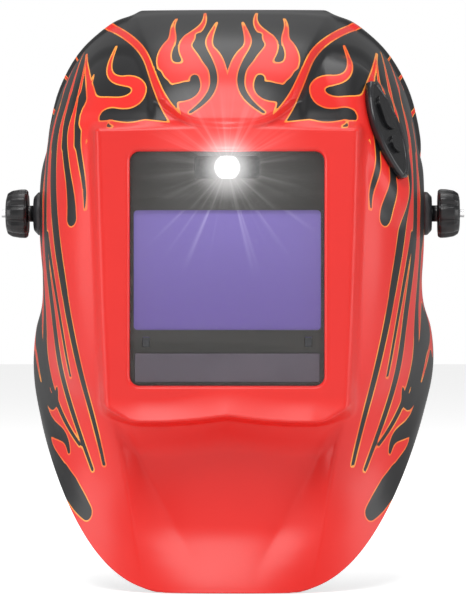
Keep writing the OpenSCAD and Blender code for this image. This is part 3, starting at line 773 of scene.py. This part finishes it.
def rounded_profile(stations, radius):
    """A lathe profile whose corners are rounded: stations are (radius, height, lobe share)."""
    out = [stations[0]]
    for a, b, c in zip(stations, stations[1:], stations[2:]):
        pa, pb, pc = (np.array(v[:2], float) for v in (a, b, c))
        la, lc = np.linalg.norm(pa - pb), np.linalg.norm(pc - pb)
        cut_back = min(radius, 0.45 * la, 0.45 * lc)
        start, end = pb + (pa - pb) * cut_back / la, pb + (pc - pb) * cut_back / lc
        for t in np.linspace(0, 1, 5):
            p = (1 - t) ** 2 * start + 2 * t * (1 - t) * pb + t * t * end
            out.append((p[0], p[1], b[2]))
    out.append(stations[-1])
    return out


def side_axis(side):
    """Turns a lathe shape's +Z to point outwards along X on one side."""
    return Matrix.Rotation(side * math.pi / 2, 4, "Y")


# The headband's tilted frame: its height, tilt and the middle of its rear arc
BAND_HEIGHT = 18
BAND_TILT = -12
REAR_Y = 42


def band_place():
    return Matrix.Translation((0, 0, BAND_HEIGHT)) @ Matrix.Rotation(math.radians(BAND_TILT), 4, "X")


def build_friction_knobs():
    profile = rounded_profile([
        (4.5, 110.0, 0), (4.5, 113.0, 0), (12.6, 113.1, 0.6), (13.5, 114.4, 1), (13.4, 117.5, 1),
        (12.7, 121.8, 1), (11.2, 124.3, 0.7), (8.4, 125.1, 0.15), (7.2, 124.6, 0), (2.7, 124.5, 0),
    ], 0.7)
    black = moulded("knob_black", (0.011, 0.011, 0.012), 0.3, 0.5, 0.015, 0.3)
    for side, name in ((-1, "left"), (1, "right")):
        knob = turned_knob(f"friction_knob_{name}", profile, 8, 1.7, side_axis(side), f"knob_{name}",
                           f"tension_knob_{name}")
        knob.data.materials.append(black)


def build_nape_knob():
    profile = rounded_profile([
        (4.0, 76.8, 0), (4.0, 80.7, 0), (19.5, 80.9, 0.7), (20.8, 82.0, 1), (20.9, 91.5, 1), (19.6, 94.2, 1),
        (15.0, 94.4, 0), (13.8, 92.2, 0), (8, 91.8, 0), (1, 91.8, 0),
    ], 0.8)
    place = band_place() @ Matrix.Translation((0, REAR_Y, 0)) @ Matrix.Rotation(-math.pi / 2, 4, "X")
    knob = turned_knob("nape_knob", profile, 12, 2.0, place, "ratchet", "ratchet_knob", steps=216)
    knob.data.materials.append(moulded("nape_knob_black", (0.02, 0.02, 0.022), 0.42, 0.5, 0.03, 0.3))


# The pad's outline is two arcs: their radius, how far their centres lie off its middle, and its half height
PAD_ARC = 40
PAD_OFFSET = 27.5
PAD_END = 27


def build_pad_rim():
    """Bevelled glossy rim round the outside control pad."""
    up = PAD_END * np.sin(np.linspace(-math.pi / 2, math.pi / 2, 36))
    wide = np.sqrt(PAD_ARC ** 2 - up ** 2) - PAD_OFFSET
    loop = np.concatenate([np.stack([wide, up], -1), np.stack([-wide, up], -1)[::-1]])
    run = np.roll(loop, -1, 0) - np.roll(loop, 1, 0)
    inward = np.stack([-run[:, 1], run[:, 0]], -1) / np.linalg.norm(run, axis=1, keepdims=True)
    section = [(-0.3, 0.4), (-0.3, 3.4), (0.2, 4.1), (0.9, 4.4), (1.5, 4.3), (2.3, 3.7), (2.3, 0.4)]
    points = []
    for inset, height in section:
        flat = loop + inset * inward
        points += list(PAD_AT + flat[:, :1] * PAD_ACROSS + flat[:, 1:] * PAD_UP + height * PAD_OUT)
    faces = grid_faces(len(section), len(loop), wrap=True)
    last = (len(section) - 1) * len(loop)
    faces += [(last + k, last + (k + 1) % len(loop), (k + 1) % len(loop), k) for k in range(len(loop))]
    rim = piece("pad_rim", points, faces, "visor", "black_plastic")
    rim.data.materials.append(moulded("pad_rim_gloss", (0.020, 0.020, 0.022), 0.14, 0.8, 0.01, 0.8))


# ---------- Pads ----------
def arc_slab(centre_y, radii, heights, angles, axis, steps=48):
    """Points and faces of a closed ring section with rounded long edges, in the headband's frame."""
    r0, r1 = radii
    z0, z1 = heights
    round_r = min(2.2, (r1 - r0) / 2.2)
    section = []
    corners = [
        (r1 - round_r, z1 - round_r, 0), (r0 + round_r, z1 - round_r, 90),
        (r0 + round_r, z0 + round_r, 180), (r1 - round_r, z0 + round_r, 270),
    ]
    for cr, cz, start in corners:
        for a in np.radians(start + np.linspace(0, 90, 5)):
            section.append((cr + round_r * math.cos(a), cz + round_r * math.sin(a)))
    points = []
    for a in np.radians(np.linspace(*angles, steps)):
        for r, z in section:
            if axis == "Z":
                points.append((r * math.cos(a), centre_y + r * math.sin(a), z))
            else:
                points.append((r * math.cos(a), centre_y + z, r * math.sin(a)))
    count = len(section)
    faces = grid_faces(steps, count, wrap=True)
    faces.append(tuple(range(count))[::-1])
    faces.append(tuple(range((steps - 1) * count, steps * count)))
    place = band_place()
    return [place @ Vector(p) for p in points], faces


VOXEL_MM = 2.4
CLOTH_PRESSURE = 4.0
CLOTH_FRAMES = 15


def puff(obj, cap_mm):
    """Fills a soft piece by cloth simulation, and lets no point move further than the cap."""
    bpy.context.view_layer.objects.active = obj
    for other in bpy.context.selected_objects:
        other.select_set(False)
    obj.select_set(True)
    remesh = obj.modifiers.new("remesh", "REMESH")
    remesh.mode = "VOXEL"
    remesh.voxel_size = VOXEL_MM * MM
    bpy.ops.object.modifier_apply(modifier=remesh.name)
    start = np.array([v.co for v in obj.data.vertices])
    cloth = obj.modifiers.new("cloth", "CLOTH")
    cloth.settings.use_pressure = True
    cloth.settings.uniform_pressure_force = CLOTH_PRESSURE
    cloth.settings.effector_weights.gravity = 0
    cloth.settings.quality = 5
    scene = bpy.context.scene
    for f in range(1, CLOTH_FRAMES + 1):
        scene.frame_set(f)
    shaped = obj.evaluated_get(bpy.context.evaluated_depsgraph_get())
    end = np.array([v.co for v in shaped.data.vertices])
    obj.modifiers.remove(cloth)
    move = end - start
    far = np.linalg.norm(move, axis=1, keepdims=True)
    end = start + move * np.minimum(1, cap_mm * MM / np.maximum(far, 1e-9))
    obj.data.vertices.foreach_set("co", end.ravel())
    scene.frame_set(1)
    smooth = obj.modifiers.new("subdivide", "SUBSURF")
    smooth.levels = smooth.render_levels = 1
    bpy.ops.object.modifier_apply(modifier=smooth.name)
    obj.data.shade_smooth()


# Seams lie this far inside a pad's edges, and have this depth and half width
SEAM_INSET = 4.5
SEAM_DEPTH = 0.9
SEAM_HALF = 1.2
NO_SEAM = 9


def sew(obj, centre_y, middle_r, half_angle, half_width, axis, channels):
    """Presses a border seam and cross channels into a pad that lies round an arc of the headband's frame."""
    flat = np.empty(len(obj.data.vertices) * 3)
    obj.data.vertices.foreach_get("co", flat)
    place = band_place()
    back = place.inverted()
    q = (flat.reshape(-1, 3) / MM) @ np.array(back.to_3x3()).T + np.array(back.translation)
    q[:, 1] -= centre_y
    if axis == "Y":
        q = q[:, [0, 2, 1]]
    radius = np.hypot(q[:, 0], q[:, 1])
    along = middle_r * (np.arctan2(np.abs(q[:, 0]), q[:, 1] * np.sign(np.median(q[:, 1]))))
    border = np.minimum(middle_r * half_angle - along, half_width - np.abs(q[:, 2])) - SEAM_INSET
    pitch = (middle_r * half_angle - SEAM_INSET) / channels
    cross = np.abs((along + pitch / 2) % pitch - pitch / 2)
    cross = np.where((border > 0) & (along > pitch / 2), cross, NO_SEAM)
    depth = SEAM_DEPTH * np.exp(-(np.minimum(np.abs(border), cross) / SEAM_HALF) ** 2)
    q[:, :2] *= (1 - np.sign(radius - middle_r) * depth / radius)[:, None]
    if axis == "Y":
        q = q[:, [0, 2, 1]]
    q[:, 1] += centre_y
    out = q @ np.array(place.to_3x3()).T + np.array(place.translation)
    obj.data.vertices.foreach_set("co", (out * MM).ravel())
    obj.data.update()


def build_pads():
    cover = fabric("pad_fabric", (0.030, 0.030, 0.033))
    # name, CAD node, middle of the arc, inside and outside radius, half width, middle angle, half angle,
    # axis of the arc, furthest a point may swell, and channels on each side of the middle
    pads = [
        ("sweatband_pad", "sweatband", 2, (70.9, 75.0), 17.6, 270, 60, "Z", 1.4, 5),
        ("crown_cushion", "crown_pad", 18, (65.6, 70.0), 21.5, 90, 26, "Y", 1.2, 2),
        ("nape_cushion", "nape_pad", REAR_Y, (66.2, 70.6), 16.6, 90, 28.5, "Z", 1.2, 2),
    ]
    for name, node, centre_y, radii, half_width, middle, half_angle, axis, cap, channels in pads:
        angles = (middle - half_angle, middle + half_angle)
        points, faces = arc_slab(centre_y, radii, (-half_width, half_width), angles, axis)
        pad = piece(name, points, faces, "headgear", "padding", node)
        pad.data.materials.append(cover)
        puff(pad, cap)
        sew(pad, centre_y, sum(radii) / 2, math.radians(half_angle), half_width, axis, channels)


def build_cable():
    """The cable from the control pad to the cartridge."""
    path = [(80.8, -74.5, 40.2), (76.5, -79, 39), (71, -84.4, 37.5), (64, -89.5, 34.5), (57, -94, 30.5),
            (52.6, -97.5, 27.5), (50.2, -100.6, 26), (49.6, -103.2, 25.6)]
    cable = tube("switch_cable", path, 1.35, "visor", "soft_rubber", "control_cable")
    cable.data.materials.append(moulded("cable_rubber", (0.014, 0.014, 0.015), 0.55, 0.4, 0.02, 0))


# ---------- Materials of the CAD nodes ----------
def dress(material, *names):
    """Gives CAD nodes their material."""
    for name in names:
        obj = nodes[name]
        obj.data.materials.clear()
        obj.data.materials.append(material)


def clear_cover():
    """Thin clear polycarbonate: lets light through and mirrors a little at its surface."""
    s = Shader("clear_cover")
    glass = s.node("BsdfGlossy", {"Color": (1, 1, 1), "Roughness": 0.06})
    through = s.node("BsdfTransparent", {"Color": (0.96, 0.965, 0.97)})
    scratch = s.ramp(s.noise(1.2, 6), 0.60, 0.75, 0.0, 0.04)
    edge = s.node("LayerWeight", {"Blend": 0.12}).outputs["Fresnel"]
    share = s.math("ADD", s.math("MULTIPLY", edge, 0.5), scratch, clamp=True)
    mixed = s.node("MixShader", {0: share, 1: through.outputs[0], 2: glass.outputs[0]})
    s.tree.links.new(mixed.outputs[0], s.output.inputs["Surface"])
    return s.material


LAMP_X, LAMP_Z = 0, 21


def from_lamp(s):
    """Distance in metres and angle of a point round the lamp, in the window's plane."""
    parts = s.node("SeparateXYZ", {0: s.place()})
    dx = s.math("SUBTRACT", parts.outputs[0], LAMP_X * MM)
    dz = s.math("SUBTRACT", parts.outputs[2], LAMP_Z * MM)
    far = s.math("SQRT", s.math("ADD", s.math("MULTIPLY", dx, dx), s.math("MULTIPLY", dz, dz)))
    return far, s.math("ARCTAN2", dx, s.math("MULTIPLY", dz, -1.0))


def lamp_rays(s, angle, spread, low, high, dimmest):
    """Uneven rays round the lamp, from dimmest to 1."""
    fan = s.node("CombineXYZ", {0: s.math("MULTIPLY", angle, spread)}).outputs[0]
    noise = s.node("TexNoise", {"Vector": fan, "Scale": 3.0, "Detail": 2.0}).outputs["Fac"]
    return s.ramp(noise, low, high, dimmest, 1)


def lamp_spill(s, strength):
    """Light of the lamp on what is round it: a halo with soft rays."""
    far, angle = from_lamp(s)
    rays = lamp_rays(s, angle, 2.2, 0.42, 0.72, 0.35)
    near = s.ramp(far, 0.006, 0.024, 1, 0)
    wide = s.math("MULTIPLY", s.math("MULTIPLY", s.ramp(far, 0.008, 0.05, 1, 0), rays), 0.3)
    s.set(s.surface, "Emission Color", (1.0, 0.97, 0.96))
    halo = s.math("ADD", s.math("MULTIPLY", near, near), wide)
    s.set(s.surface, "Emission Strength", s.math("MULTIPLY", halo, strength))


def case_plastic():
    """Warm grey cartridge face, brushed along its width, lit by the lamp."""
    s = Shader("case_plastic")
    stretch = s.node("Mapping", {"Vector": s.place(), "Scale": (0.05, 1, 1)}).outputs[0]
    brushed = s.noise(1.2, 3, stretch)
    streak = s.ramp(s.noise(9, 2, stretch), 0.35, 0.7)
    s.bump(brushed, 0.012, 0.25)
    lamp_spill(s, 0.5)
    return s.paint(Base_Color=s.mix(streak, (0.050, 0.047, 0.042), (0.072, 0.068, 0.062)),
                   Roughness=s.ramp(brushed, 0.3, 0.7, 0.36, 0.5))


def filter_glass():
    """Violet darkening filter with faint painted rays of the lamp across it, a faint painted glow all over,
    and painted shade that darkens it towards the bottom.
    """
    s = Shader("filter_glass")
    far, angle = from_lamp(s)
    rays = lamp_rays(s, angle, 2.0, 0.5, 0.8, 0)
    lit = s.math("MULTIPLY", s.math("MULTIPLY", rays, s.ramp(far, 0.02, 0.062, 1, 0)), 0.55)
    # Painted shade: the violet is darker towards the bottom of the filter and lighter towards the top.
    low = s.ramp(s.node("SeparateXYZ", {0: s.place()}).outputs[2], -0.064, -0.002)
    base = s.mix(low, (0.140, 0.088, 0.330), (0.205, 0.150, 0.450))
    # Painted light: the whole filter glows faintly violet though it is no lamp, and whiter along the lamp's
    # rays.
    s.set(s.surface, "Emission Strength", 0.14)
    s.set(s.surface, "Emission Color", s.mix(lit, (0.31, 0.21, 0.68), (1.0, 0.95, 1.0)))
    return s.paint(Base_Color=s.mix(lit, base, (0.62, 0.55, 0.90)), Roughness=0.12,
                   Coat_Weight=0.5, Coat_Roughness=0.05)


def lamp_glass():
    """Frosted lamp window with the lit diode in its middle."""
    s = Shader("lamp_glass")
    far, _ = from_lamp(s)
    s.set(s.surface, "Emission Color", (1.0, 0.98, 0.97))
    core = s.ramp(far, 0.0025, 0.0072, 7.0, 0.0)
    s.set(s.surface, "Emission Strength", s.math("ADD", core, s.ramp(far, 0.005, 0.0155, 0.55, 0.05)))
    grain = s.ramp(s.noise(1.5, 2), 0.4, 0.6)
    return s.paint(Base_Color=s.mix(grain, (0.085, 0.084, 0.080), (0.110, 0.108, 0.104)), Roughness=0.4)


def solar_film():
    """Solar strip: dark brown-violet film with thin collector lines."""
    s = Shader("solar_film")
    x = s.node("SeparateXYZ", {0: s.place()}).outputs[0]
    lines = s.ramp(s.math("PINGPONG", x, 0.012), 0.0, 0.0003, 1, 0)
    cloud = s.noise(25, 2)
    base = s.mix(cloud, (0.085, 0.066, 0.088), (0.145, 0.115, 0.145))
    colour = s.mix(s.math("MULTIPLY", lines, 0.16), base, (0.28, 0.25, 0.27))
    return s.paint(Base_Color=colour, Roughness=0.22, Coat_Weight=0.6, Coat_Roughness=0.08)


def dark_glass():
    s = Shader("sensor_glass")
    colour = s.mix(s.noise(1.5, 2), (0.014, 0.013, 0.015), (0.026, 0.024, 0.028))
    return s.paint(Base_Color=colour, Roughness=0.12, Coat_Weight=0.8)


def board_green():
    """Green board with winding lighter tracks."""
    s = Shader("board_green")
    wave = s.node("TexWave", {"Vector": s.place(), "Scale": 260, "Distortion": 6}).outputs["Fac"]
    tracks = s.ramp(wave, 0.5, 0.6)
    return s.paint(Base_Color=s.mix(tracks, (0.01, 0.09, 0.03), (0.03, 0.18, 0.06)), Roughness=0.4)


def dress_nodes():
    black = moulded("black_nylon", (0.018, 0.018, 0.020), 0.42)
    case = case_plastic()
    gloss = moulded("pad_black", (0.008, 0.008, 0.009), 0.16, 2.4, 0.16, 0.6)
    rubber = moulded("soft_rubber", (0.016, 0.016, 0.017), 0.6, 0.4, 0.02, 0.3)
    strap = moulded("strap_nylon", (0.020, 0.020, 0.022), 0.5, 0.9, 0.06, 0.35)
    sides = ("left", "right")
    dress(gloss, "control_pad", "grind_button", "lamp_button")
    dress(rubber, "lens_gasket")
    dress(case, "cartridge_housing", "cartridge_back")
    dress(strap, "headband", *[f"rack_strap_{a}" for a in sides], *[f"slide_rail_{a}" for a in sides],
          *[f"crown_strap_{b}_{a}" for a in sides for b in ("front", "rear")])
    dress(black, "lens_holder", "retaining_frame", "shade_dial", "sensitivity_dial", "delay_dial",
          "battery_cap", "angle_stop_left", "angle_lever_right", "crown_pegs", "ratchet_housing",
          "ratchet_cover",
          *[f"{n}_{a}" for a in sides for n in ("pivot_bush", "outer_washer", "pivot_block", "spacer")])
    dress(moulded("latch_red", (0.45, 0.02, 0.02), 0.35), *[f"latch_{a}" for a in sides])
    dress(moulded("button_red", (0.55, 0.02, 0.02), 0.35), "test_button")
    dress(moulded("gear_acetal", (0.62, 0.60, 0.52), 0.4), "pinion_gear")
    dress(metal("turned_steel", (0.60, 0.60, 0.61)), "pivot_stud_left", "pivot_stud_right", "rail_rivets",
          "detent_spring", "coin_cell")
    dress(clear_cover(), "front_cover_lens", "inner_cover_lens")
    dress(filter_glass(), "lcd_filter")
    dress(lamp_glass(), "lamp_window")
    dress(solar_film(), "solar_panel")
    dress(dark_glass(), "arc_sensors")
    dress(board_green(), "circuit_board", "lamp_board")


# ---------- Floor, light and camera ----------
FLOOR_GAP = 0.0005
FLOOR_RADIUS = 6
FLOOR_GLOW = 0.6
SKY_LIGHT, SKY_SEEN = 0.30, 1.0


def build_floor():
    """A pale floor that looks brighter to the camera than to the object."""
    place = (0, 0, cad_box[0].z - FLOOR_GAP)
    bpy.ops.mesh.primitive_circle_add(vertices=96, radius=FLOOR_RADIUS, fill_type="NGON", location=place)
    floor = bpy.context.object
    floor.name = "floor"
    s = Shader("floor_paint")
    pale = s.mix(s.noise(400, 2), (0.86, 0.86, 0.86), (0.90, 0.90, 0.90))
    seen = s.node("LightPath").outputs["Is Camera Ray"]
    s.set(s.surface, "Emission Color", (1, 1, 1))
    s.set(s.surface, "Emission Strength", s.math("MULTIPLY", seen, FLOOR_GLOW))
    floor.data.materials.append(s.paint(Base_Color=pale, Roughness=0.7))


def build_sky():
    """A white surround, dimmer as a light than the camera sees it."""
    world = bpy.data.worlds.new("studio")
    bpy.context.scene.world = world
    world.use_nodes = True
    tree = world.node_tree
    sky = tree.nodes["Background"]
    sky.inputs["Color"].default_value = (1, 1, 1, 1)
    seen = tree.nodes.new("ShaderNodeLightPath")
    strength = tree.nodes.new("ShaderNodeMapRange")
    strength.inputs["To Min"].default_value = SKY_LIGHT
    strength.inputs["To Max"].default_value = SKY_SEEN
    tree.links.new(seen.outputs["Is Camera Ray"], strength.inputs["Value"])
    tree.links.new(strength.outputs[0], sky.inputs["Strength"])


def build_lights():
    # name, place, size and power
    lights = [
        ("key", (-0.25, -1.25, 1.7), 1.1, 25),
        ("top", (0, 0.35, 1.6), 1.0, 9),
        ("fill", (0.1, -1.9, 0.1), 1.2, 3),
        ("left_rim", (-1.7, -0.5, 0.3), 1.0, 10),
        ("right_rim", (1.7, -0.5, 0.3), 1.0, 10),
    ]
    for name, place, size, power in lights:
        data = bpy.data.lights.new(name, "AREA")
        data.size = size
        data.energy = power
        light = bpy.data.objects.new(name, data)
        light.location = place
        light.rotation_euler = (-Vector(place)).to_track_quat("-Z", "Y").to_euler()
        bpy.context.scene.collection.objects.link(light)


LAMP_FRONT_Y = -0.137
LAMP_POWER = 0.012
LAMP_RADIUS = 0.006


def build_lamp_glow():
    """A small light in front of the lamp, which moves with the shell."""
    data = bpy.data.lights.new("lamp_glow", "POINT")
    data.energy = LAMP_POWER
    data.shadow_soft_size = LAMP_RADIUS
    glow = bpy.data.objects.new("lamp_glow", data)
    glow.location = (LAMP_X * MM, LAMP_FRONT_Y, LAMP_Z * MM)
    glow.parent = frame["bodies"]["visor"]
    bpy.context.scene.collection.objects.link(glow)


# The camera looks at this point from a little to the control pad's side
CAMERA_AIM = Vector((0.0002, 0, -0.0477))
CAMERA_TURN = math.radians(1.4)
CAMERA_DISTANCE = 1.7
FRONT_DEPTH = 0.12
VIEW_HEIGHT = 0.3095
SENSOR_MM = 36


def build_camera():
    data = bpy.data.cameras.new("camera")
    data.sensor_width = SENSOR_MM
    data.lens = SENSOR_MM * CAMERA_DISTANCE / VIEW_HEIGHT
    camera = bpy.data.objects.new("camera", data)
    towards = Vector((math.sin(CAMERA_TURN), -math.cos(CAMERA_TURN), 0))
    camera.location = CAMERA_AIM + towards * (CAMERA_DISTANCE + FRONT_DEPTH)
    camera.rotation_euler = (-towards).to_track_quat("-Z", "Y").to_euler()
    bpy.context.scene.collection.objects.link(camera)
    bpy.context.scene.camera = camera
    bpy.context.scene.view_settings.view_transform = "Standard"


build_shell()
build_friction_knobs()
build_nape_knob()
build_pad_rim()
build_pads()
build_cable()
dress_nodes()
build_floor()
build_sky()
build_lights()
build_lamp_glow()
build_camera()
